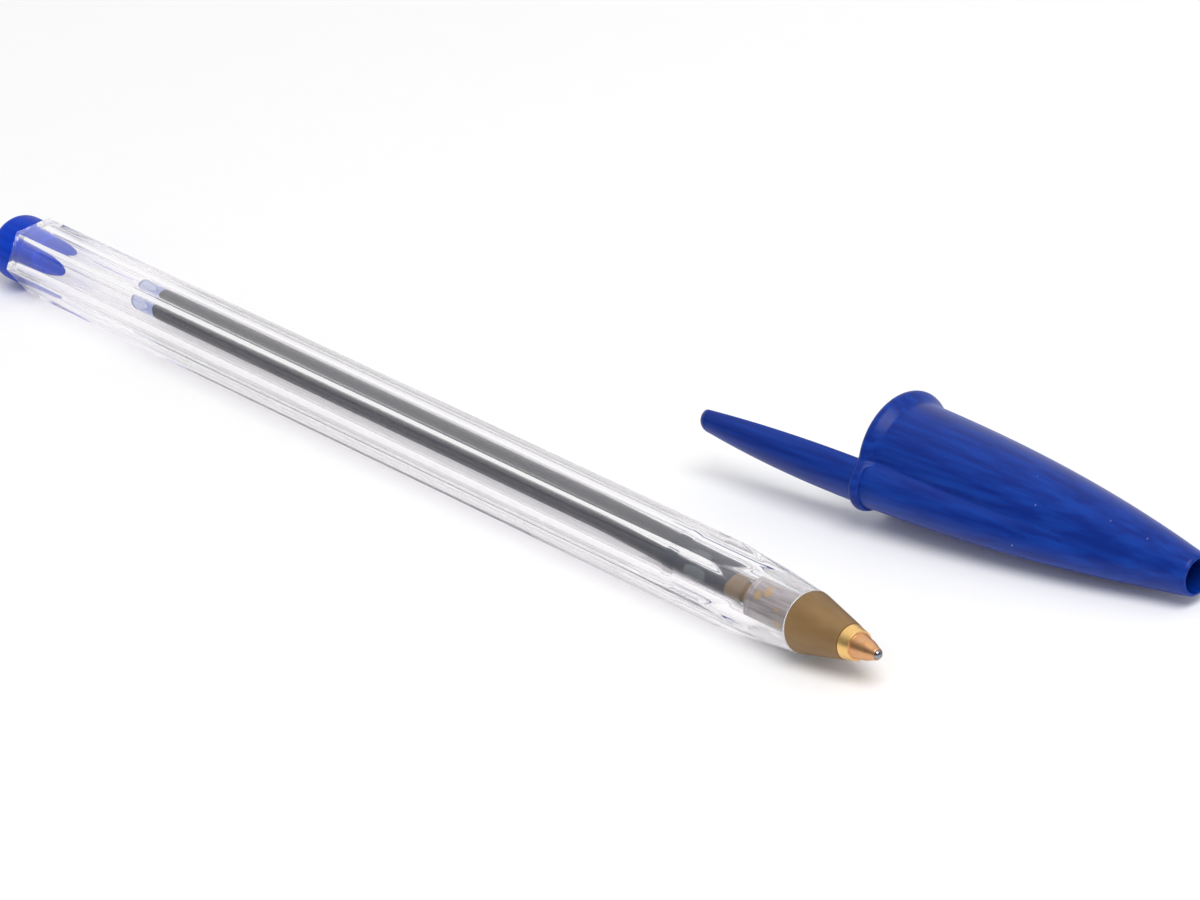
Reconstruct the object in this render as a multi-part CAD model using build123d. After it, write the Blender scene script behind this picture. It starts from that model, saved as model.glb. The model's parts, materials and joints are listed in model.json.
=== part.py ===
from build123d import *
import os
from math import atan2, cos, degrees, radians, sin, sqrt

# A stick ballpoint pen lies on one flat of its clear six-sided barrel, with its cap
# taken off and laid beside it.
# Millimetres. X runs along the pen towards the writing tip and Z is up. The origin is
# the middle of the flat that the barrel rests on.

# Barrel
across_flats = 7.2
barrel_length = 129.4
bore_diameter = 5.0
front_bore_diameter = 4.5
front_bore_depth = 16.6
front_rim_diameter = 6.06
front_taper_length = 11.9

# End plug
plug_head_inset = 0.05
plug_head_length = 4.6
plug_head_rounding = 1.6
plug_spigot_length = 3.4

# Nose cone, which plugs the front of the barrel and carries the refill
nose_length = 5.85
nose_tip_diameter = 3.5
nose_spigot_length = 6.4
nose_stem_length = 5.5
nose_channel_diameter = 1.2

# Refill tube and its ink
tube_diameter = 3.0
tube_bore_diameter = 2.1
tube_shoulder_gap = 1.5
tube_end_gap = 17.3
tube_lean_length = 20.0
tube_lean_angle = 65.0
tube_wall_gap = 0.05
ink_headroom = 3.6
ink_film = 0.02

# Brass point and its ball
collar_length = 1.31
collar_base_diameter = 3.4
collar_front_diameter = 2.9
point_base_diameter = 2.5
point_lip_diameter = 1.2
point_reach = 2.44
shank_diameter = 2.2
shank_length = 4.5
point_channel_diameter = 0.6
ball_diameter = 1.0
ball_clearance = 0.02
lip_overhang = 0.15

# Cap
cap_length = 37.6
cap_clearance = 0.15
cap_wall = 0.8
cap_mouth_depth = 12.0
cap_nose_wall = 0.3
cap_taper_power = 2.3
vent_diameter = 3.4
vent_land = 3.6
bead_diameter = 1.3
bead_proud = 0.15
bead_overhang = 0.1
lobe_bead_diameter = 1.15
lobe_bead_proud = 0.45
clip_length = 20.9
clip_root_diameter = 4.94
clip_tip_diameter = 2.63
clip_taper_power = 2.15
clip_flat_depth = 0.1
clip_gap = 0.45
clip_flare = 2.6
fairing_setback = 2.6
fairing_end_diameter = 3.0
fairing_cover = 0.1
fairing_sink = 0.1
fairing_fade_power = 0.8

# Place of the cap on the table
cap_mouth_x = 48.7
cap_mouth_y = 24.55
cap_yaw = 5.8
clip_dip = 14.0

# Stations along the pen, worked out from the sizes
axis_height = across_flats / 2
corner_radius = across_flats / sqrt(3)
rim_x = barrel_length / 2
rear_x = -barrel_length / 2
nose_front_x = rim_x + nose_length
collar_front_x = nose_front_x + collar_length
ball_x = collar_front_x + point_reach
spigot_rear_x = rim_x - nose_spigot_length
stem_rear_x = spigot_rear_x - nose_stem_length
tube_front_x = spigot_rear_x - tube_shoulder_gap
tube_rear_x = rear_x + plug_spigot_length + tube_end_gap
ink_rear_x = tube_rear_x + ink_headroom
shank_rear_x = nose_front_x - shank_length
seat_radius = ball_diameter / 2 + ball_clearance
lean_steps = 5
past_end = 1.0


def turned(*outline):
    """Turn (station, radius) points about the X axis."""
    return revolve(make_face(Polyline(*outline, close=True)), Axis.X)


def rod(start_x, end_x, diameter):
    """A plain round rod on the X axis."""
    radius = diameter / 2
    return turned((start_x, 0), (start_x, radius), (end_x, radius), (end_x, 0))


def spaced(start, end, steps):
    """Evenly spaced stations from start to end, both included."""
    return [start + (end - start) * step / steps for step in range(steps + 1)]


def on_pen_axis(solid):
    """Lift a piece made about the X axis to the height of the barrel's axis."""
    return Pos(0, 0, axis_height) * solid


def make_barrel():
    section = Plane.YZ * RegularPolygon(across_flats / 2, 6, major_radius=False)
    hexagon = Pos(rear_x, 0, 0) * extrude(section, barrel_length, dir=(1, 0, 0))
    rim_radius = front_rim_diameter / 2
    slope = (corner_radius - rim_radius) / front_taper_length
    clear_radius = corner_radius + past_end
    envelope = turned(
        (rear_x - past_end, 0),
        (rear_x - past_end, clear_radius),
        (rim_x - (clear_radius - rim_radius) / slope, clear_radius),
        (rim_x, rim_radius),
        (rim_x, 0),
    )
    bore_end_x = rim_x - front_bore_depth
    bore = rod(rear_x - past_end, bore_end_x, bore_diameter)
    front_bore = rod(bore_end_x - past_end, rim_x + past_end, front_bore_diameter)
    return (hexagon & envelope) - bore - front_bore


def make_end_plug():
    head_x = rear_x - plug_head_length
    head = rod(head_x, rear_x, across_flats - 2 * plug_head_inset)
    head = fillet(head.edges().group_by(Axis.X)[0], plug_head_rounding)
    return head + rod(rear_x, rear_x + plug_spigot_length, bore_diameter)


def make_nose_cone():
    rim_radius = front_rim_diameter / 2
    spigot_radius = front_bore_diameter / 2
    stem_radius = tube_bore_diameter / 2
    body = turned(
        (stem_rear_x, 0),
        (stem_rear_x, stem_radius),
        (spigot_rear_x, stem_radius),
        (spigot_rear_x, spigot_radius),
        (rim_x, spigot_radius),
        (rim_x, rim_radius),
        (nose_front_x, nose_tip_diameter / 2),
        (nose_front_x, 0),
    )
    shank_hole = rod(shank_rear_x, nose_front_x + past_end, shank_diameter)
    channel = rod(stem_rear_x - past_end, shank_rear_x, nose_channel_diameter)
    return body - shank_hole - channel


def make_point_socket():
    body = turned(
        (shank_rear_x, 0),
        (shank_rear_x, shank_diameter / 2),
        (nose_front_x, shank_diameter / 2),
        (nose_front_x, collar_base_diameter / 2),
        (collar_front_x, collar_front_diameter / 2),
        (collar_front_x, point_base_diameter / 2),
        (ball_x + lip_overhang, point_lip_diameter / 2),
        (ball_x + lip_overhang, 0),
    )
    channel = rod(shank_rear_x - past_end, ball_x, point_channel_diameter)
    seat = Pos(ball_x, 0, 0) * Sphere(seat_radius)
    return body - channel - seat


def tube_centre(x):
    """Middle of the refill tube at a station: on the axis at the stem, then against the bore."""
    share = min((stem_rear_x - x) / tube_lean_length, 1)
    reach = (bore_diameter - tube_diameter) / 2 - tube_wall_gap
    lean = reach * share**2 * (3 - 2 * share)
    turn = radians(tube_lean_angle)
    return (x, lean * cos(turn), lean * sin(turn))


def leaning_rod(diameter):
    """A round rod that follows the middle of the refill tube from end to end."""
    lean_end_x = stem_rear_x - tube_lean_length
    bend = [tube_centre(x) for x in spaced(stem_rear_x, lean_end_x, lean_steps)]
    along = (-1, 0, 0)
    path = Line((tube_front_x, 0, 0), bend[0]) + Spline(*bend, tangents=(along, along))
    path += Line(bend[-1], tube_centre(tube_rear_x))
    return sweep(Plane((tube_front_x, 0, 0), z_dir=along) * Circle(diameter / 2), path)


def make_ink_column():
    # The ink fills the tube behind the stem and runs through the channels to the ball.
    in_tube = leaning_rod(tube_bore_diameter - 2 * ink_film)
    in_tube &= rod(ink_rear_x, stem_rear_x - ink_film, across_flats)
    start_x = stem_rear_x - past_end
    in_nose = rod(start_x, shank_rear_x - ink_film, nose_channel_diameter - 2 * ink_film)
    in_point = rod(start_x, ball_x, point_channel_diameter - 2 * ink_film)
    seat = Pos(ball_x, 0, 0) * Sphere(seat_radius)
    return in_tube + in_nose + in_point - seat


def make_refill_tube():
    return leaning_rod(tube_diameter) - leaning_rod(tube_bore_diameter)


def make_ball():
    return Pos(ball_x, 0, 0) * Sphere(ball_diameter / 2)


# The cap is made about its own axis, with its mouth at X = 0, its nose towards +X and
# its clip towards +Z, and is then laid on the table.
mouth_bore_radius = corner_radius + cap_clearance
cap_mouth_radius = mouth_bore_radius + cap_wall
cap_nose_radius = vent_diameter / 2 + cap_nose_wall
bead_radius = bead_diameter / 2
bead_x = bead_radius - bead_overhang
bead_ring_radius = cap_mouth_radius + bead_proud
clip_root_radius = clip_root_diameter / 2
clip_tip_radius = clip_tip_diameter / 2
clip_inside = corner_radius + clip_gap
clip_height = clip_inside + clip_flat_depth
fairing_root_radius = clip_root_radius + fairing_cover
fairing_start_x = bead_x / 2
fairing_end_x = cap_length - fairing_setback
body_steps = 8
fairing_steps = 6
clip_steps = 5


def cap_radius(station):
    """Outside radius of the cap's body at a distance from its mouth."""
    fall = (station / cap_length) ** cap_taper_power
    return cap_mouth_radius - (cap_mouth_radius - cap_nose_radius) * fall


def make_cap_body():
    side = Spline(*[(station, cap_radius(station)) for station in spaced(0, cap_length, body_steps)])
    ends = Polyline((cap_length, cap_nose_radius), (cap_length, 0), (0, 0), (0, cap_mouth_radius))
    return revolve(make_face(side.edges() + ends.edges()), Axis.X)


def make_bead(ring_radius, section_radius, height):
    ring = Rot(0, 90, 0) * Torus(ring_radius, section_radius)
    return Pos(bead_x, 0, height) * ring


def fairing_section(station):
    """Round section of the rib that runs from the clip's root along the cap's side."""
    share = (station - fairing_start_x) / (fairing_end_x - fairing_start_x)
    radius = fairing_root_radius + (fairing_end_diameter / 2 - fairing_root_radius) * share
    root_rise = clip_height + fairing_root_radius - cap_radius(fairing_start_x)
    rise = (root_rise + fairing_sink) * (1 - share) ** fairing_fade_power - fairing_sink
    height = cap_radius(station) + rise - radius
    return Plane((station, 0, height), x_dir=(0, 1, 0), z_dir=(1, 0, 0)) * Circle(radius)


def make_fairing():
    stations = spaced(fairing_start_x, fairing_end_x, fairing_steps)
    return loft([fairing_section(station) for station in stations])


def clip_radius(station):
    """Radius of the clip's round back, which swells from its tip to its root."""
    share = station / (clip_tip_radius - clip_length)
    return clip_root_radius - (clip_root_radius - clip_tip_radius) * share**clip_taper_power


def make_clip():
    shoulder_x = clip_tip_radius - clip_length
    round_off = clip_tip_radius * sqrt(0.5)
    tip = ThreePointArc(
        (-clip_length, 0), (shoulder_x - round_off, round_off), (shoulder_x, clip_tip_radius)
    )
    side = Spline(*[(station, clip_radius(station)) for station in spaced(shoulder_x, 0, clip_steps)])
    ends = Polyline(
        (0, clip_root_radius), (bead_x, clip_root_radius), (bead_x, 0), (-clip_length, 0)
    )
    bar = revolve(make_face(tip.edges() + side.edges() + ends.edges()), Axis.X)
    # The face towards the pen is flat, and the tip stands off a little.
    waste_size = 2 * clip_length
    waste_top = Pos(bead_x / 2 - waste_size / 2, 0, -clip_flat_depth - waste_size / 2)
    tongue = bar - waste_top * Box(waste_size, waste_size, waste_size)
    return Pos(0, 0, clip_height) * Rot(0, clip_flare, 0) * tongue


def make_cap():
    lobe_ring_radius = clip_root_radius + lobe_bead_proud - lobe_bead_diameter / 2
    outside = make_cap_body() + make_fairing()
    outside += make_bead(bead_ring_radius, bead_radius, 0)
    outside += make_bead(lobe_ring_radius, lobe_bead_diameter / 2, clip_height)
    outside += make_clip()
    inside = turned(
        (-past_end, 0),
        (-past_end, mouth_bore_radius),
        (cap_mouth_depth, mouth_bore_radius),
        (cap_length - vent_land, vent_diameter / 2),
        (cap_length + past_end, vent_diameter / 2),
        (cap_length + past_end, 0),
    )
    return outside - inside


def lay_cap(cap):
    """Lay the cap on its bead and its side, turned as it lies on the table."""
    bead_outside = bead_ring_radius + bead_radius
    rest_pitch = min(
        atan2(bead_outside - cap_radius(station), station - bead_x)
        for station in spaced(0, cap_length, body_steps)[1:]
    )
    height = bead_x * sin(rest_pitch) + bead_ring_radius * cos(rest_pitch) + bead_radius
    turn = Rot(0, 0, cap_yaw) * Rot(0, degrees(rest_pitch), 0) * Rot(90 + clip_dip, 0, 0)
    return Pos(cap_mouth_x, cap_mouth_y, height) * turn * cap


nodes = {
    "barrel": on_pen_axis(make_barrel()),
    "end_plug": on_pen_axis(make_end_plug()),
    "nose_cone": on_pen_axis(make_nose_cone()),
    "refill_tube": on_pen_axis(make_refill_tube()),
    "ink_column": on_pen_axis(make_ink_column()),
    "point_socket": on_pen_axis(make_point_socket()),
    "ball": on_pen_axis(make_ball()),
    "cap": lay_cap(make_cap()),
}

os.makedirs("parts", exist_ok=True)
for name, solid in nodes.items():
    export_step(solid, f"parts/{name}.step")
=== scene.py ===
import json
from math import asin, atan2, cos, pi, radians, sin, tan

import bpy
import numpy as np
from mathutils import Matrix, Vector


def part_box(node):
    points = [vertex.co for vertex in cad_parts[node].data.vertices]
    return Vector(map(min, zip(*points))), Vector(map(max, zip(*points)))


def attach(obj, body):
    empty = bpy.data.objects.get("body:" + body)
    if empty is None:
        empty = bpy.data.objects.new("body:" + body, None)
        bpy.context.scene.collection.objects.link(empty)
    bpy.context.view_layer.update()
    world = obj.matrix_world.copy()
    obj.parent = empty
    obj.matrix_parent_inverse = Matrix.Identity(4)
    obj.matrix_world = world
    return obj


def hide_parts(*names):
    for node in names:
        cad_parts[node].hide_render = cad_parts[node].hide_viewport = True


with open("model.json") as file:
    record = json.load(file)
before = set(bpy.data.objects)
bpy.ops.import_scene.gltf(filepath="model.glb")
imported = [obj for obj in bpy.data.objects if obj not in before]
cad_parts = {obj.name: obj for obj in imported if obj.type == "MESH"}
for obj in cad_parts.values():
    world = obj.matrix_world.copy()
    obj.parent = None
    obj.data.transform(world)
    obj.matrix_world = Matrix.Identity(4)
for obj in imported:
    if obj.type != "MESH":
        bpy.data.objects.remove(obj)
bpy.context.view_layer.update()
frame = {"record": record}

# A clear six-sided stick ballpoint pen and its blue cap, lying on a white table.
# Every length below is in metres, in the frame of the solids: X along the pen to its tip, Z up.
MM = 0.001

# Sizes read from the solids
barrel_low, barrel_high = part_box("barrel")
plug_low, plug_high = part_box("end_plug")
nose_low, nose_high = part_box("nose_cone")
tube_low, tube_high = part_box("refill_tube")
ink_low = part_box("ink_column")[0]
point_low, point_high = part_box("point_socket")
ball_low, ball_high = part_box("ball")
mounts = {mount["name"]: mount for mount in frame["record"]["mounts"]}
mouth = mounts["cap_mouth"]

axis_height = (barrel_low.z + barrel_high.z) / 2
flat_radius = (barrel_high.z - barrel_low.z) / 2
rear_x = barrel_low.x
rim_x = barrel_high.x
rim_radius = (nose_high.z - nose_low.z) / 2
nose_front_x = nose_high.x
ball_radius = (ball_high.z - ball_low.z) / 2
ball_x = (ball_low.x + ball_high.x) / 2
plug_radius = (plug_high.z - plug_low.z) / 2
collar_radius = (point_high.z - point_low.z) / 2

# Sizes that no box shows
pole_radius = 0.02 * MM
air_gap = 0.05 * MM

# Sizes of the barrel
bore_radius = 2.5 * MM
front_bore_radius = 2.25 * MM
front_bore_depth = 16.6 * MM
bore_step_length = 1.5 * MM
taper_length = 11.9 * MM
taper_lead = 4 * MM
taper_margin = 1 * MM
taper_rounding = 0.05 * MM
corner_rounding = 0.16 * MM
edge_rounding = 0.12 * MM
rim_rounding = 0.22 * MM

# Sizes of the plug
plug_seam = 0.02 * MM
plug_head_rounding = 1.6 * MM
plug_lead_length = 0.3 * MM
plug_lead_depth = 0.4 * MM
plug_edge_rounding = 0.15 * MM

# Sizes of the nose cone
spigot_length = 6.4 * MM
spigot_rear = rim_x - spigot_length
shoulder_length = 0.1 * MM
neck_start = 0.9 * MM
neck_end = 0.6 * MM
neck_share = 0.8
shoulder_share = 0.86
groove_setback = 0.45 * MM
groove_wall = 0.05 * MM
groove_length = 0.12 * MM
groove_depth = 0.12 * MM
nose_edge_rounding = 0.08 * MM
nose_tip_radius = 1.75 * MM
stem_fit = 0.01 * MM

# Sizes of the refill tube and the ink
tube_radius = 1.5 * MM
tube_bore_radius = 1.05 * MM
tube_clearance = 0.05 * MM
tube_lean_length = 20.0 * MM
tube_lean_reach = bore_radius - tube_radius - tube_clearance
tube_lean_angle = radians(65)
ink_fit = 0.02 * MM
ink_film_reach = 1.7 * MM
meniscus_depth = 0.5 * MM
meniscus_side_depth = 0.35 * MM
meniscus_side_share = 0.6
bubble_setback = 14.7 * MM
bubble_angle = radians(60)
bubble_reach = (1.75 * MM, 0.95 * MM, 0.95 * MM)
bubble_centre = (
    rim_x - bubble_setback,
    -sin(bubble_angle) * tube_bore_radius,
    axis_height + cos(bubble_angle) * tube_bore_radius,
)

# Sizes of the point and the ball
shank_sink = 0.3 * MM
shank_share = 0.8
collar_length = 1.31 * MM
collar_bevel_start = 0.05 * MM
collar_bevel_end = 0.12 * MM
collar_bevel_share = 0.94
collar_lip_length = 0.1 * MM
collar_lip_rise = 0.02 * MM
collar_front_radius = 1.45 * MM
point_base_radius = 1.25 * MM
cone_bend_place = 0.55
cone_bend_share = 0.76
lip_radius = 0.6 * MM
lip_start = 0.42 * MM
lip_start_share = 1.1
lip_bevel = 0.12 * MM
lip_edge_share = 0.9
lip_overhang = 0.15 * MM
point_edge_rounding = 0.05 * MM
ball_play = 0.015 * MM
ball_pole_angle = 0.01
cup_pole_angle = 0.03

# Sizes of the cap, about its own axis from its mouth
cap_length = 37.6 * MM
cap_wall = 0.8 * MM
cap_mouth_depth = mouth["dims"]["length_mm"] * MM
cap_bore_radius = mouth["dims"]["r_mm"] * MM
cap_mouth_radius = cap_bore_radius + cap_wall
vent_radius = 1.7 * MM
vent_land = 3.6 * MM
vent_bevel_length = 0.06 * MM
vent_bevel_depth = 0.04 * MM
cap_nose_wall = 0.3 * MM
cap_nose_radius = vent_radius + cap_nose_wall
cap_nose_bevel = 0.25 * MM
cap_nose_edge_length = 0.08 * MM
cap_nose_edge_depth = 0.05 * MM
cap_nose_face_depth = 0.14 * MM
cap_mouth_bevel = 0.2 * MM
cap_edge_rounding = 0.1 * MM
cap_taper_power = 2.3
bead_radius = 0.65 * MM
bead_rise = 0.77 * MM
bead_flare = 1.6 * MM
bead_overhang = 0.1 * MM
bead_end_gap = 0.1 * MM
lobe_fade = 1 * MM
lobe_bead_tail = 1.5
lobe_bead_radius = 0.45 * MM
lobe_bead_rise = 0.5 * MM
clip_length = 20.9 * MM
clip_root_radius = 2.47 * MM
clip_tip_radius = 1.315 * MM
clip_root_sink = 0.5 * MM
clip_taper_power = 2.15
clip_flat_depth = 0.1 * MM
clip_flat_rounding = 0.1
clip_pole_angle = 0.02
clip_height = 4.707 * MM
clip_flare = radians(2.6)
clip_dip = radians(14.0)
rib_start = 0.275 * MM
rib_setback = 2.6 * MM
rib_end = cap_length - rib_setback
rib_spread = 0.1 * MM
rib_root_radius = clip_root_radius + rib_spread
rib_end_radius = 2.1 * MM
rib_sink = 0.1 * MM
rib_fade_power = 0.8
valley_rounding = 0.08 * MM
inside_solid = 0.005 * MM


def smooth_step(low, high, value):
    """0 below low, 1 above high, and a smooth rise between."""
    share = np.clip((value - low) / (high - low), 0, 1)
    return share * share * (3 - 2 * share)


def soft_min(a, b, rounding):
    return 0.5 * (a + b - np.sqrt((a - b) ** 2 + rounding**2))


def soft_max(a, b, rounding):
    return 0.5 * (a + b + np.sqrt((a - b) ** 2 + rounding**2))


def add_object(name, vertices, faces):
    """A new smooth-shaded mesh object in the frame."""
    mesh = bpy.data.meshes.new(name)
    mesh.from_pydata([tuple(v) for v in vertices], [], faces)
    mesh.validate()
    mesh.update()
    mesh.shade_smooth()
    piece = bpy.data.objects.new(name, mesh)
    bpy.context.scene.collection.objects.link(piece)
    return piece


def skin(name, rings, closed_along=False, sharp_angle=40):
    """Quads between rings of equally many points, with end caps unless the rings close on themselves."""
    rings = np.asarray(rings)
    ring_count, around, _ = rings.shape
    faces = []
    for i in range(ring_count if closed_along else ring_count - 1):
        start = i * around
        after = ((i + 1) % ring_count) * around
        for j in range(around):
            k = (j + 1) % around
            faces.append((start + j, start + k, after + k, after + j))
    if not closed_along:
        faces.append(tuple(reversed(range(around))))
        faces.append(tuple(range((ring_count - 1) * around, ring_count * around)))
    piece = add_object(name, rings.reshape(-1, 3), faces)
    piece.data.set_sharp_from_angle(angle=radians(sharp_angle))
    return piece


def on_axis(x):
    """No distance from the pen's axis, at any station."""
    return 0.0, 0.0


def tube_centre(x):
    """How far the refill tube's middle is from the pen's axis: none at the stem, then against the bore."""
    share = min(max((nose_low.x - x) / tube_lean_length, 0), 1)
    lean = tube_lean_reach * share**2 * (3 - 2 * share)
    return lean * cos(tube_lean_angle), lean * sin(tube_lean_angle)


def lathe(name, profile, centre=on_axis, segments=128, closed_along=False, sharp_angle=40):
    """Turn (x, radius) points about the pen's axis, or about a line that leaves it."""
    angles = np.linspace(0, 2 * pi, segments, endpoint=False)
    rings = []
    for x, radius in profile:
        aside, above = centre(x)
        rings.append(ring_at(angles, x, radius) + np.array([0, aside, above]))
    return skin(name, rings, closed_along, sharp_angle)


def rounded(profile, radius, steps=4):
    """Replace the inner corners of an open profile by small arcs."""
    result = [profile[0]]
    for before, corner, after in zip(profile, profile[1:], profile[2:]):
        p = np.array(corner)
        a = np.array(before) - p
        b = np.array(after) - p
        reach = min(radius, 0.45 * np.linalg.norm(a), 0.45 * np.linalg.norm(b))
        start = p + a / np.linalg.norm(a) * reach
        end = p + b / np.linalg.norm(b) * reach
        for step in range(steps + 1):
            t = step / steps
            point = (1 - t) ** 2 * start + 2 * t * (1 - t) * p + t**2 * end
            result.append((point[0], point[1]))
    result.append(profile[-1])
    return result


def barrel_angles(per_flat=26, per_corner=8):
    """Angles about the barrel's axis, closer together at the rounded corners."""
    flat_reach = (flat_radius - corner_rounding) * tan(pi / 6)
    edge = atan2(flat_reach, flat_radius)
    flat = np.linspace(-edge, edge, per_flat)
    corner = np.linspace(edge, pi / 3 - edge, per_corner + 2)[1:-1]
    one_side = np.concatenate([flat, corner])
    return np.concatenate([one_side + side * pi / 3 for side in range(6)])


def hexagon_radius(angles):
    """Radius of a hexagon with rounded corners and a flat at angle 0."""
    fold = (angles + pi / 6) % (pi / 3) - pi / 6
    flat = flat_radius / np.cos(fold)
    centre = (flat_radius - corner_rounding) / cos(pi / 6)
    from_corner = pi / 6 - np.abs(fold)
    inside = np.maximum(corner_rounding**2 - (centre * np.sin(from_corner)) ** 2, 0)
    arc = centre * np.cos(from_corner) + np.sqrt(inside)
    past_flat = flat_radius * np.tan(np.abs(fold)) > (flat_radius - corner_rounding) * tan(pi / 6)
    return np.where(past_flat, arc, flat)


def barrel_radius(angles, x):
    """Outside radius of the barrel: six flats and a coned front."""
    corner_radius = flat_radius / cos(pi / 6)
    slope = (corner_radius - rim_radius) / taper_length
    cone = rim_radius + (rim_x - x) * slope
    radius = hexagon_radius(angles)
    if cone < corner_radius + taper_margin:
        radius = soft_min(radius, np.full_like(radius, cone), taper_rounding)
    return radius


def ring_at(angles, x, radius):
    """A ring about the pen's axis, with angle 0 at the top and 90 degrees at -Y."""
    radius = np.broadcast_to(radius, angles.shape)
    return np.column_stack([
        np.full(angles.shape, x),
        -radius * np.sin(angles),
        axis_height + radius * np.cos(angles),
    ])


def make_barrel():
    angles = barrel_angles()
    straight_end = rim_x - taper_length - taper_lead
    outside = list(np.linspace(rear_x + edge_rounding, straight_end, 24))
    outside += list(np.linspace(straight_end, rim_x - rim_rounding, 150))[1:]
    rear = barrel_radius(angles, outside[0])
    rings = []
    for turn in np.linspace(pi / 2, 0, 4):
        x = rear_x + edge_rounding * (1 - sin(turn))
        rings.append(ring_at(angles, x, rear - edge_rounding * (1 - cos(turn))))
    rings += [ring_at(angles, x, barrel_radius(angles, x)) for x in outside[1:]]
    front = barrel_radius(angles, outside[-1])
    for turn in np.linspace(0, pi / 2, 7)[1:]:
        x = rim_x - rim_rounding * (1 - sin(turn))
        rings.append(ring_at(angles, x, front - rim_rounding * (1 - cos(turn))))
    step_x = rim_x - front_bore_depth
    bore = [
        (rim_x, front_bore_radius),
        (step_x, front_bore_radius),
        (step_x - bore_step_length, bore_radius),
        (rear_x, bore_radius),
    ]
    rings += [ring_at(angles, x, radius) for x, radius in rounded(bore, edge_rounding)]
    return skin("clear_barrel", rings, closed_along=True, sharp_angle=35)


def make_plug():
    head = plug_low.x
    head_front = rear_x - plug_seam
    spigot_radius = bore_radius - air_gap
    profile = [(head, pole_radius)]
    for turn in np.linspace(0, pi / 2, 12):
        x = head + plug_head_rounding * (1 - cos(turn))
        profile.append((x, plug_radius - plug_head_rounding * (1 - sin(turn))))
    edge = [
        profile[-1],
        (head_front, plug_radius),
        (head_front, spigot_radius),
        (plug_high.x - plug_lead_length, spigot_radius),
        (plug_high.x, spigot_radius - plug_lead_depth),
        (plug_high.x, pole_radius),
    ]
    return lathe("blue_end_plug", profile[:-1] + rounded(edge, plug_edge_rounding))


def make_nose():
    stem_radius = tube_bore_radius + stem_fit
    spigot_radius = front_bore_radius - air_gap
    spigot_start = spigot_rear + shoulder_length
    groove_start = spigot_start + groove_setback
    groove_floor = groove_start + groove_wall
    groove_end = groove_floor + groove_length
    profile = [
        (nose_low.x, pole_radius),
        (nose_low.x, stem_radius),
        (spigot_rear - neck_start, stem_radius),
        (spigot_rear - neck_end, spigot_radius * neck_share),
        (spigot_start, spigot_radius * shoulder_share),
        (spigot_start, spigot_radius),
        (groove_start, spigot_radius),
        (groove_floor, spigot_radius - groove_depth),
        (groove_end, spigot_radius - groove_depth),
        (groove_end + groove_wall, spigot_radius),
        (rim_x, spigot_radius),
        (rim_x, rim_radius),
        (nose_front_x, nose_tip_radius),
        (nose_front_x, pole_radius),
    ]
    return lathe("bronze_nose_cone", rounded(profile, nose_edge_rounding))


def lean_stations(start, end):
    """Stations along the refill tube, close together where it leaves the pen's axis."""
    bend_end = nose_low.x - tube_lean_length
    bend = np.linspace(nose_low.x, bend_end, 24)
    return [start] + [x for x in bend if min(start, end) < x < max(start, end)] + [end]


def make_tube():
    outside = [(x, tube_radius) for x in lean_stations(tube_high.x, tube_low.x)]
    inside = [(x, tube_bore_radius) for x in lean_stations(tube_high.x, tube_low.x)]
    return lathe("refill_tube_wall", outside[::-1] + inside, tube_centre, closed_along=True)


def make_ink():
    radius = tube_bore_radius + ink_fit
    rear = ink_low.x
    # A film of ink covers the rear of the nose cone's stem.
    front = nose_low.x + ink_film_reach
    # The ink's rear end is a hollow meniscus.
    profile = [
        (rear + meniscus_depth, pole_radius),
        (rear + meniscus_side_depth, radius * meniscus_side_share),
    ]
    profile += [(x, radius) for x in lean_stations(front, rear)[::-1]]
    profile.append((front, pole_radius))
    return lathe("ink_fill", profile, tube_centre)


def make_point():
    collar_front = nose_front_x + collar_length
    lip_x = ball_x + lip_overhang
    cone_bend = collar_front + (lip_x - collar_front) * cone_bend_place
    profile = [
        (nose_front_x - shank_sink, pole_radius),
        (nose_front_x - shank_sink, collar_radius * shank_share),
        (nose_front_x + collar_bevel_start, collar_radius * collar_bevel_share),
        (nose_front_x + collar_bevel_end, collar_radius),
        (collar_front - collar_lip_length, collar_front_radius + collar_lip_rise),
        (collar_front, collar_front_radius),
        (collar_front, point_base_radius),
        (cone_bend, point_base_radius * cone_bend_share),
        (lip_x - lip_start, lip_radius * lip_start_share),
        (lip_x - lip_bevel, lip_radius),
        (lip_x, lip_radius * lip_edge_share),
    ]
    # The ball turns in a round cup with a little play, held by the lip.
    cup_radius = ball_radius + ball_play
    cup = []
    for turn in np.linspace(asin(lip_overhang / cup_radius), cup_pole_angle - pi / 2, 16):
        cup.append((ball_x + cup_radius * sin(turn), cup_radius * cos(turn)))
    return lathe("brass_point", rounded(profile + cup[:1], point_edge_rounding) + cup[1:])


def make_ball():
    turns = np.linspace(ball_pole_angle, pi - ball_pole_angle, 48)
    profile = [(ball_x - ball_radius * cos(turn), ball_radius * sin(turn)) for turn in turns]
    return lathe("writing_ball", profile, segments=64)


# The cap's own axes: forward from its mouth to its nose, out along its clip, and across
out_of_mouth = Vector(mouth["axis"]).normalized()
forward = -out_of_mouth
mouth_centre = Vector(mouth["pos_m"]) + out_of_mouth * (cap_mouth_depth / 2)
level = Vector((0, 0, 1)).cross(forward).normalized()
upright = forward.cross(level).normalized()
clip_out = -level * cos(clip_dip) - upright * sin(clip_dip)
clip_across = forward.cross(clip_out)


def cap_point(station, out, across):
    return mouth_centre + forward * station + clip_out * out + clip_across * across


def cap_body_radius(station):
    fall = (max(station, 0) / cap_length) ** cap_taper_power
    return cap_mouth_radius - (cap_mouth_radius - cap_nose_radius) * fall - inside_solid


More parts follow.
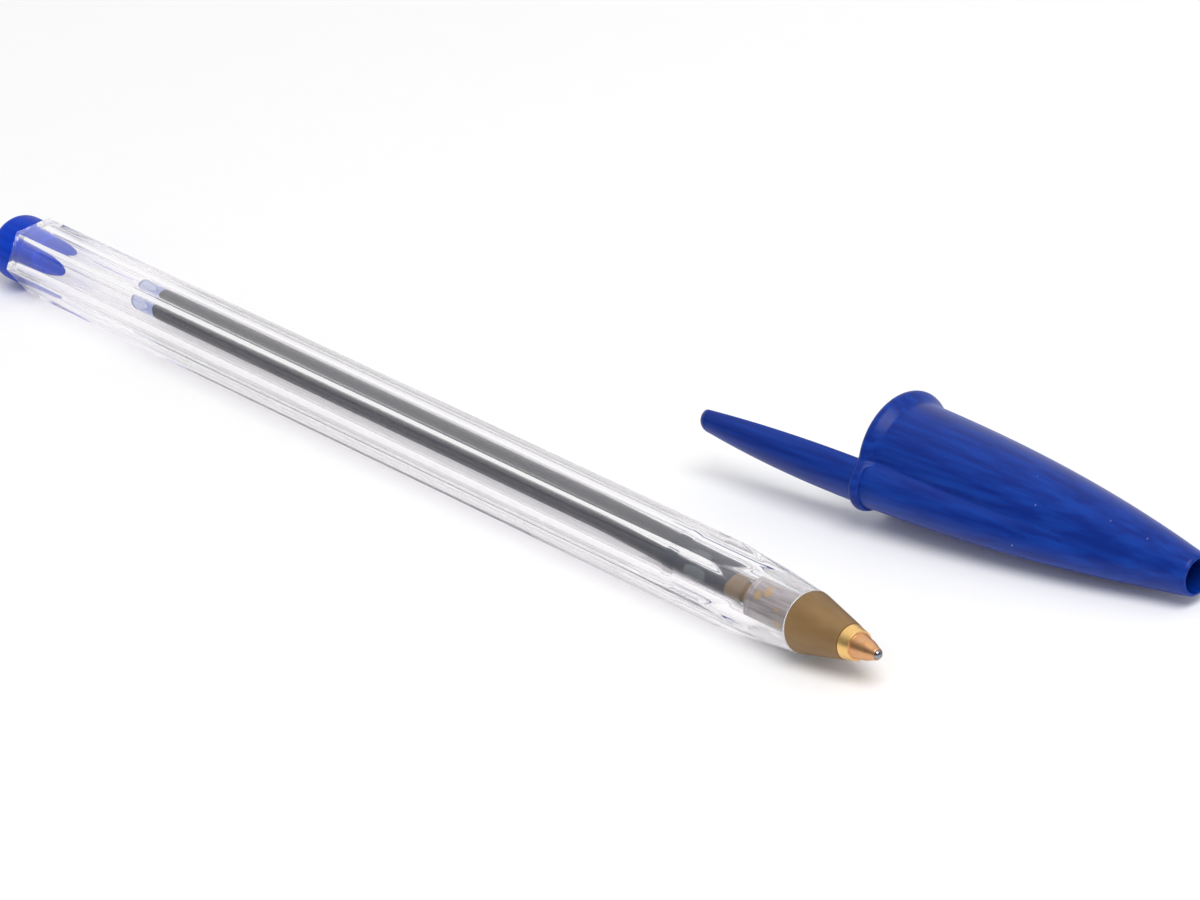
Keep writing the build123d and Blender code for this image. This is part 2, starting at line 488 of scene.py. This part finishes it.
def cap_outline(angles, station):
    """Outside radius of the cap: a round body joined with the rib that carries the clip on."""
    body = cap_body_radius(station)
    share = min(max((station - rib_start) / (rib_end - rib_start), 0), 1)
    rib = rib_root_radius + (rib_end_radius - rib_root_radius) * share
    root_rise = clip_height + rib_root_radius - cap_mouth_radius
    rise = (root_rise + rib_sink) * (1 - share) ** rib_fade_power - rib_sink
    centre = body + rise - rib
    inside = rib**2 - (centre * np.sin(angles)) ** 2
    rib_radius = centre * np.cos(angles) + np.sqrt(np.maximum(inside, 0))
    meets = (inside > 0) & (np.cos(angles) > 0)
    # Away from the rib, half the body's radius is low enough to leave the body as it is.
    beside = np.full_like(angles, body / 2)
    return soft_max(np.full_like(angles, body), np.where(meets, rib_radius, beside), valley_rounding)


def cap_ring(angles, station, radius):
    station = np.broadcast_to(station, angles.shape)
    radius = np.broadcast_to(radius, angles.shape)
    return [cap_point(s, r * cos(a), r * sin(a)) for s, a, r in zip(station, angles, radius)]


def make_cap_shell():
    angles = np.linspace(0, 2 * pi, 256, endpoint=False)
    rings = []
    # The rolled bead follows the whole outline of the mouth. It flares into the round body,
    # and is a thinner ring round the clip's root.
    bead_x = bead_radius - bead_overhang
    outline = cap_outline(angles, bead_x)
    lobe = smooth_step(0, lobe_fade, outline - cap_body_radius(bead_x))
    section = bead_radius + (lobe_bead_radius - bead_radius) * lobe
    rise = bead_rise + (lobe_bead_rise - bead_rise) * lobe
    crest = bead_x + bead_radius - section
    for turn in np.linspace(-pi / 2, 0, 11):
        radius = outline + rise - section * (1 - cos(turn))
        rings.append(cap_ring(angles, crest + section * sin(turn), radius))
    for turn in np.linspace(0, pi / 2, 17)[1:]:
        share = turn / (pi / 2)
        reach = bead_flare * share
        fall = bead_rise * smooth_step(0, 1, share)
        reach += (section * sin(turn) * lobe_bead_tail - reach) * lobe
        fall += (section * (1 - cos(turn)) - fall) * lobe
        outline = cap_outline(angles, bead_x + bead_radius * sin(turn))
        rings.append(cap_ring(angles, crest + reach, outline + rise - fall))
    body_start = bead_x + bead_flare + bead_end_gap
    for station in np.linspace(body_start, cap_length - cap_nose_bevel, 120):
        rings.append(cap_ring(angles, station, cap_outline(angles, station)))
    # Round the nose, through the vent and back along the inside to the mouth
    inside = [
        (cap_length - cap_nose_edge_length, cap_nose_radius - cap_nose_edge_depth),
        (cap_length, cap_nose_radius - cap_nose_face_depth),
        (cap_length, vent_radius + vent_bevel_depth),
        (cap_length - vent_bevel_length, vent_radius),
        (cap_length - vent_land, vent_radius),
        (cap_mouth_depth, cap_bore_radius),
        (cap_mouth_bevel, cap_bore_radius),
        (bead_x - bead_radius, cap_bore_radius + cap_mouth_bevel),
    ]
    rings += [cap_ring(angles, station, radius) for station, radius in rounded(inside, cap_edge_rounding)]
    return skin("blue_cap_shell", rings, closed_along=True, sharp_angle=50)


def clip_section(turns, station, radius):
    """One section of the clip: a round back and a flat towards the cap's axis."""
    centre = clip_height - station * tan(clip_flare)
    floor = -clip_flat_depth * radius / clip_root_radius
    out = soft_max(radius * np.cos(turns), np.full_like(turns, floor), clip_flat_rounding * radius)
    across = radius * np.sin(turns)
    return [cap_point(station, centre + o, a) for o, a in zip(out, across)]


def make_clip():
    """The clip's tongue, which swells from a rounded tip to its root in the cap."""
    turns = np.linspace(0, 2 * pi, 96, endpoint=False)
    shoulder = clip_tip_radius - clip_length
    rings = []
    for station in np.linspace(clip_root_sink, shoulder, 60):
        share = max(station / shoulder, 0)
        swell = (clip_root_radius - clip_tip_radius) * share**clip_taper_power
        rings.append(clip_section(turns, station, clip_root_radius - swell))
    for turn in np.linspace(0, pi / 2 - clip_pole_angle, 16)[1:]:
        station = shoulder - clip_tip_radius * sin(turn)
        rings.append(clip_section(turns, station, clip_tip_radius * cos(turn)))
    return skin("blue_cap_clip", rings[::-1], sharp_angle=60)


# Materials
# A mix node of colours has them at these sockets.
mix_first, mix_second, mix_result = 6, 7, 2


class Shader:
    """A material with one Principled shader, and short calls for the nodes that drive it.

    The colour and roughness it starts with are those of a viewer that reads no nodes.
    """

    def __init__(self, name, colour, roughness, metallic=0.0):
        self.material = bpy.data.materials.new(name)
        self.material.use_nodes = True
        tree = self.material.node_tree
        self.nodes, self.links = tree.nodes, tree.links
        self.principled = self.nodes["Principled BSDF"]
        self.set("Base Color", (*colour, 1))
        self.set("Roughness", roughness)
        self.set("Metallic", metallic)
        self.place = self.nodes.new("ShaderNodeTexCoord").outputs["Object"]

    def set(self, socket, value):
        self.principled.inputs[socket].default_value = value

    def link(self, output, socket):
        self.links.new(output, self.principled.inputs[socket])

    def mapped(self, scale, turn=0.0):
        """Coordinates turned about Z and stretched, for grain that runs one way."""
        turned = self.nodes.new("ShaderNodeMapping")
        turned.inputs["Rotation"].default_value = (0, 0, turn)
        self.links.new(self.place, turned.inputs["Vector"])
        stretched = self.nodes.new("ShaderNodeMapping")
        stretched.inputs["Scale"].default_value = scale
        self.links.new(turned.outputs["Vector"], stretched.inputs["Vector"])
        return stretched.outputs["Vector"]

    def noise(self, vector, scale, detail=3.0):
        node = self.nodes.new("ShaderNodeTexNoise")
        node.inputs["Scale"].default_value = scale
        node.inputs["Detail"].default_value = detail
        self.links.new(vector, node.inputs["Vector"])
        return node.outputs["Fac"]

    def specks(self, scale, size):
        """1 in small round spots scattered over the surface, 0 elsewhere."""
        cells = self.nodes.new("ShaderNodeTexVoronoi")
        cells.inputs["Scale"].default_value = scale
        self.links.new(self.place, cells.inputs["Vector"])
        return self.ranged(cells.outputs["Distance"], size, size * 0.5, 0, 1)

    def ranged(self, value, from_low, from_high, to_low, to_high):
        node = self.nodes.new("ShaderNodeMapRange")
        limits = {"From Min": from_low, "From Max": from_high, "To Min": to_low, "To Max": to_high}
        for socket, number in limits.items():
            node.inputs[socket].default_value = number
        self.links.new(value, node.inputs["Value"])
        return node.outputs["Result"]

    def oval(self, centre, reach):
        """1 inside an ellipsoid of the frame, 0 outside it."""
        node = self.nodes.new("ShaderNodeMapping")
        node.inputs["Location"].default_value = [-c / r for c, r in zip(centre, reach)]
        node.inputs["Scale"].default_value = [1 / r for r in reach]
        self.links.new(self.place, node.inputs["Vector"])
        length = self.nodes.new("ShaderNodeVectorMath")
        length.operation = "LENGTH"
        self.links.new(node.outputs["Vector"], length.inputs[0])
        return self.ranged(length.outputs["Value"], 1.0, 0.85, 0, 1)

    def along(self, axis):
        """The frame's X, Y or Z."""
        split = self.nodes.new("ShaderNodeSeparateXYZ")
        self.links.new(self.place, split.inputs["Vector"])
        return split.outputs[axis]

    def let_lamps_through(self, colour):
        """Lamps shine through this surface, dimmed by a colour, so that its shadow is faint."""
        clear = self.nodes.new("ShaderNodeBsdfTransparent")
        clear.inputs["Color"].default_value = (*colour, 1)
        mix = self.nodes.new("ShaderNodeMixShader")
        self.links.new(self.nodes.new("ShaderNodeLightPath").outputs["Is Shadow Ray"], mix.inputs["Fac"])
        self.links.new(self.principled.outputs["BSDF"], mix.inputs[1])
        self.links.new(clear.outputs["BSDF"], mix.inputs[2])
        self.links.new(mix.outputs["Shader"], self.nodes["Material Output"].inputs["Surface"])

    def product(self, a, b):
        node = self.nodes.new("ShaderNodeMath")
        node.operation = "MULTIPLY"
        self.links.new(a, node.inputs[0])
        self.links.new(b, node.inputs[1])
        return node.outputs["Value"]

    def mixed(self, share, first, second):
        """A colour between two, each a colour or a node's output."""
        node = self.nodes.new("ShaderNodeMix")
        node.data_type = "RGBA"
        self.links.new(share, node.inputs["Factor"])
        for index, colour in ((mix_first, first), (mix_second, second)):
            if isinstance(colour, tuple):
                node.inputs[index].default_value = (*colour, 1)
            else:
                self.links.new(colour, node.inputs[index])
        return node.outputs[mix_result]

    def bump(self, height, distance):
        node = self.nodes.new("ShaderNodeBump")
        node.inputs["Distance"].default_value = distance
        node.inputs["Strength"].default_value = 1.0
        self.links.new(height, node.inputs["Height"])
        self.link(node.outputs["Normal"], "Normal")


# Colours, most of them in pairs that a noise or a place mixes
clear_tint = (0.99, 0.982, 0.988)
clear_shadow = (0.79, 0.774, 0.792)
cap_dark, cap_light = (0.001, 0.021, 0.215), (0.003, 0.041, 0.315)
plug_dark, plug_light = (0.001, 0.034, 0.42), (0.003, 0.052, 0.54)
dust_pale = (0.45, 0.5, 0.7)
bronze_plain = (0.26, 0.155, 0.06)
bronze_dark, bronze_light = (0.208, 0.118, 0.04), (0.258, 0.15, 0.056)
# Painted reflection: the silvery look of the air film round the nose cone's spigot
painted_reflection_dark, painted_reflection_light = (0.18, 0.16, 0.16), (0.36, 0.325, 0.335)
touching_spot = (0.42, 0.25, 0.08)
brass_plain = (0.78, 0.52, 0.2)
gold_dark, gold_light = (0.84, 0.5, 0.16), (0.95, 0.66, 0.28)
copper_dark, copper_light = (0.64, 0.31, 0.13), (0.78, 0.46, 0.25)
ball_plain = (0.3, 0.3, 0.32)
ball_clean, ball_inked = (0.34, 0.34, 0.36), (0.12, 0.12, 0.16)
ink_plain = (0.012, 0.015, 0.022)
ink_dark, ink_light = (0.003, 0.006, 0.026), (0.008, 0.014, 0.042)
# Painted light: a paler top on the ink, as if lit from above
painted_lit_ink_dark, painted_lit_ink_light = (0.01, 0.009, 0.02), (0.022, 0.02, 0.034)
bubble_pale = (0.1, 0.115, 0.13)
tube_clear, tube_tinted = (0.86, 0.9, 0.97), (0.53, 0.58, 0.79)
tube_shadow = (0.95, 0.96, 0.97)
paper_plain = (0.98, 0.98, 0.985)
paper_dark, paper_light = (0.972, 0.972, 0.977), (0.988, 0.988, 0.993)


def clear_plastic():
    """Clear moulded plastic with lengthwise scuffs and a faint ripple."""
    shader = Shader("clear_polystyrene", clear_tint, 0.015)
    shader.set("Transmission Weight", 1.0)
    shader.set("IOR", 1.5)
    scuffs = shader.noise(shader.mapped((0.05, 1, 1)), 900, 4)
    shader.link(shader.ranged(scuffs, 0.5, 0.85, 0.0, 0.04), "Roughness")
    shader.bump(shader.noise(shader.mapped((0.02, 1, 1)), 380, 2), 1e-6)
    shader.let_lamps_through(clear_shadow)
    return shader.material


def blue_plastic(name, dark, light, shine, heading):
    """Moulded blue with fine streaks along a heading and a little dust."""
    shader = Shader(name, dark, 0.34)
    streaks = shader.noise(shader.mapped((0.03, 1, 1), -heading), 1500, 5)
    cloud = shader.noise(shader.place, 90, 3)
    blue = shader.mixed(shader.ranged(streaks, 0.38, 0.66, 0, 1), dark, light)
    dust = shader.product(shader.specks(420, 0.06), shader.ranged(cloud, 0.5, 0.62, 0, 0.8))
    shader.link(shader.mixed(dust, blue, dust_pale), "Base Color")
    shader.link(shader.ranged(streaks, 0.3, 0.75, 0.3, 0.4), "Roughness")
    shader.set("Specular IOR Level", shine)
    shader.bump(streaks, 3e-6)
    return shader.material


def bronze_plastic():
    """Fine-grained brown plastic, with a painted silvery reflection on its spigot inside the barrel."""
    shader = Shader("bronze_plastic", bronze_plain, 0.5, 0.15)
    x = shader.along("X")
    grain = shader.noise(shader.place, 9000, 3)
    cloud = shader.noise(shader.mapped((0.3, 1, 1)), 700, 3)
    bronze = shader.mixed(shader.ranged(cloud, 0.3, 0.7, 0, 1), bronze_dark, bronze_light)
    # Inside the barrel a film of air between the two plastics makes the spigot look silvery. That
    # reflection is painted into the spigot's colour, except for small spots where the plastics touch.
    shoulder_x = spigot_rear + shoulder_length
    reflection_rear = shoulder_x - 0.1 * MM
    reflection_front = rim_x - 0.1 * MM
    full_reflection_front = rim_x - 0.3 * MM
    behind_rim = shader.ranged(x, reflection_front, full_reflection_front, 0, 1)
    ahead_of_shoulder = shader.ranged(x, reflection_rear, shoulder_x, 0, 1)
    painted_reflection_zone = shader.product(behind_rim, ahead_of_shoulder)
    clusters = shader.product(shader.specks(620, 0.42), shader.ranged(cloud, 0.41, 0.47, 0, 1))
    spots = shader.product(painted_reflection_zone, clusters)
    streaks = shader.noise(shader.mapped((0.08, 1, 1)), 3500, 3)
    painted_reflection = shader.mixed(shader.ranged(streaks, 0.35, 0.65, 0, 1), painted_reflection_dark, painted_reflection_light)
    bronze_or_painted_reflection = shader.mixed(painted_reflection_zone, bronze, painted_reflection)
    shader.link(shader.mixed(spots, bronze_or_painted_reflection, touching_spot), "Base Color")
    shader.link(shader.ranged(grain, 0.3, 0.7, 0.44, 0.6), "Roughness")
    shader.bump(grain, 4e-6)
    return shader.material


def turned_brass():
    """Gold collar and redder cone, with fine rings from the lathe."""
    shader = Shader("turned_brass", brass_plain, 0.28, 1.0)
    collar_front = nose_front_x + collar_length
    blend = 0.02 * MM
    past_collar = shader.ranged(shader.along("X"), collar_front - blend, collar_front + blend, 0, 1)
    rings = shader.noise(shader.mapped((1, 0.02, 0.02)), 30000, 2)
    tarnish = shader.noise(shader.place, 1500, 4)
    gold = shader.mixed(tarnish, gold_dark, gold_light)
    copper = shader.mixed(tarnish, copper_dark, copper_light)
    shader.link(shader.mixed(past_collar, gold, copper), "Base Color")
    shader.link(shader.ranged(rings, 0.3, 0.7, 0.32, 0.46), "Roughness")
    shader.bump(rings, 3e-6)
    return shader.material


def ball_metal():
    """Polished metal with a smear of ink."""
    shader = Shader("hard_metal_ball", ball_plain, 0.16, 1.0)
    smear = shader.noise(shader.place, 2500, 4)
    inked = shader.ranged(smear, 0.4, 0.7, 0, 1)
    shader.link(shader.mixed(inked, ball_clean, ball_inked), "Base Color")
    shader.link(shader.ranged(smear, 0.3, 0.7, 0.1, 0.3), "Roughness")
    return shader.material


def dark_ink_with_painted_light():
    """Blue-black paste with painted light that makes its top paler, and one pale bubble behind the stem.
    """
    shader = Shader("paste_ink_with_painted_light", ink_plain, 0.4)
    shader.set("Specular IOR Level", 0.0)
    flow = shader.ranged(shader.noise(shader.mapped((0.2, 1, 1)), 900, 3), 0.35, 0.65, 0, 1)
    side = shader.mixed(flow, ink_dark, ink_light)
    top = shader.mixed(flow, painted_lit_ink_dark, painted_lit_ink_light)
    # Painted light: the ink turns paler towards its top.
    painted_light_start = axis_height + 1.0 * MM
    painted_light_full = axis_height + 2.0 * MM
    height = shader.ranged(shader.along("Z"), painted_light_start, painted_light_full, 0, 1)
    bubble = shader.oval(bubble_centre, bubble_reach)
    shader.link(shader.mixed(bubble, shader.mixed(height, side, top), bubble_pale), "Base Color")
    return shader.material


def milky_tube():
    """Slightly hazy plastic."""
    shader = Shader("milky_refill_tube", tube_clear, 0.06)
    shader.set("Transmission Weight", 1.0)
    shader.set("IOR", 1.49)
    haze = shader.noise(shader.mapped((0.2, 1, 1)), 1200, 3)
    shader.link(shader.ranged(haze, 0.3, 0.7, 0.03, 0.09), "Roughness")
    # A trace of ink tints the emptied end.
    tint_start = ink_low.x + 0.4 * MM
    tint_full = ink_low.x + 0.2 * MM
    emptied = shader.ranged(shader.along("X"), tint_start, tint_full, 0, 1)
    shader.link(shader.mixed(emptied, tube_clear, tube_tinted), "Base Color")
    shader.let_lamps_through(tube_shadow)
    return shader.material


def dress(piece, material, body, node):
    """Give a piece its finish, and let it move with its body in place of its solid."""
    piece.data.materials.append(material)
    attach(piece, body)
    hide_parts(node)


cap_heading = atan2(forward.y, forward.x)
cap_blue = blue_plastic("blue_cap_plastic", cap_dark, cap_light, 0.2, cap_heading)
plug_blue = blue_plastic("blue_plug_plastic", plug_dark, plug_light, 0.05, 0)
dress(make_barrel(), clear_plastic(), "pen", "barrel")
dress(make_plug(), plug_blue, "pen", "end_plug")
dress(make_nose(), bronze_plastic(), "pen", "nose_cone")
dress(make_tube(), milky_tube(), "pen", "refill_tube")
dress(make_ink(), dark_ink_with_painted_light(), "pen", "ink_column")
dress(make_point(), turned_brass(), "pen", "point_socket")
dress(make_ball(), ball_metal(), "ball", "ball")
dress(make_cap_shell(), cap_blue, "cap", "cap")
dress(make_clip(), cap_blue, "cap", "cap")

# Table, light and camera
table_half = 3.0
world_fill = 0.62
mirror_dark = 0.15
glass_dark = 0.75
fade_start, fade_end = -0.1, 0.8
studio_side = Vector((-0.5, 0.6, 0.62)).normalized()
key_energy = 5.0
key_size = 0.6
key_place = Vector((0.5, -0.08, 0.78))
camera_target = Vector((0.01526, 0.01321, 0))
camera_azimuth = radians(56.474)
camera_elevation = radians(26.593)
camera_roll = radians(-9.231)
camera_distance = 0.6418
camera_lens = 197.1
camera_sensor = 36


def make_table():
    signs = [(-1, -1), (1, -1), (1, 1), (-1, 1)]
    corners = [(x * table_half, y * table_half, 0) for x, y in signs]
    table = add_object("white_table", corners, [(0, 1, 2, 3)])
    shader = Shader("white_paper", paper_plain, 0.9)
    fibre = shader.noise(shader.place, 260, 4)
    shader.link(shader.mixed(fibre, paper_dark, paper_light), "Base Color")
    shader.set("Specular IOR Level", 0.1)
    table.data.materials.append(shader.material)


def make_world():
    """White to the camera, even to dull surfaces, brighter behind the object to glossy and clear ones."""
    world = bpy.data.worlds.new("studio")
    world.use_nodes = True
    bpy.context.scene.world = world
    nodes, links = world.node_tree.nodes, world.node_tree.links

    def shade(value, dark):
        """A smooth rise from a dark level to white, towards the bright side of the studio."""
        node = nodes.new("ShaderNodeMapRange")
        node.interpolation_type = "SMOOTHSTEP"
        limits = {"From Min": fade_start, "From Max": fade_end, "To Min": dark, "To Max": 1.0}
        for socket, number in limits.items():
            node.inputs[socket].default_value = number
        links.new(value, node.inputs["Value"])
        return node.outputs["Result"]

    def chosen(share, first, second):
        """The second level where share is 1, and the first where it is 0."""
        node = nodes.new("ShaderNodeMix")
        links.new(share, node.inputs["Factor"])
        for socket, level in (("A", first), ("B", second)):
            if isinstance(level, float):
                node.inputs[socket].default_value = level
            else:
                links.new(level, node.inputs[socket])
        return node.outputs["Result"]

    background = nodes["Background"]
    background.inputs["Color"].default_value = (1, 1, 1, 1)
    path = nodes.new("ShaderNodeLightPath")
    along = nodes.new("ShaderNodeVectorMath")
    along.operation = "DOT_PRODUCT"
    along.inputs[1].default_value = studio_side
    links.new(nodes.new("ShaderNodeTexCoord").outputs["Generated"], along.inputs[0])
    level = chosen(path.outputs["Is Glossy Ray"], world_fill, shade(along.outputs["Value"], mirror_dark))
    level = chosen(path.outputs["Is Transmission Ray"], level, shade(along.outputs["Value"], glass_dark))
    level = chosen(path.outputs["Is Camera Ray"], level, 1.0)
    links.new(level, background.inputs["Strength"])


def make_key_light():
    lamp = bpy.data.lights.new("key_softbox", "AREA")
    lamp.energy = key_energy
    lamp.shape = "DISK"
    lamp.size = key_size
    key = bpy.data.objects.new("key_softbox", lamp)
    key.location = key_place
    key.rotation_mode = "QUATERNION"
    key.rotation_quaternion = (camera_target - key_place).to_track_quat("-Z", "Y")
    bpy.context.scene.collection.objects.link(key)


def make_camera():
    right = Vector((cos(camera_azimuth), sin(camera_azimuth), 0))
    back = Vector((
        sin(camera_azimuth) * cos(camera_elevation),
        -cos(camera_azimuth) * cos(camera_elevation),
        sin(camera_elevation),
    ))
    up = back.cross(right)
    rolled_right = right * cos(camera_roll) + up * sin(camera_roll)
    rolled_up = up * cos(camera_roll) - right * sin(camera_roll)
    lens = bpy.data.cameras.new("camera")
    lens.lens = camera_lens
    lens.sensor_width = camera_sensor
    camera = bpy.data.objects.new("camera", lens)
    turn = Matrix((rolled_right, rolled_up, back)).transposed()
    camera.matrix_world = Matrix.Translation(camera_target + back * camera_distance) @ turn.to_4x4()
    bpy.context.scene.collection.objects.link(camera)
    bpy.context.scene.camera = camera


make_table()
make_world()
make_key_light()
make_camera()
bpy.context.scene.view_settings.view_transform = "Standard"
# Light crosses the clear barrel's walls many times before it leaves them.
wall_crossings = 40
cycles = bpy.context.scene.cycles
cycles.max_bounces = wall_crossings
cycles.glossy_bounces = wall_crossings
cycles.transmission_bounces = wall_crossings
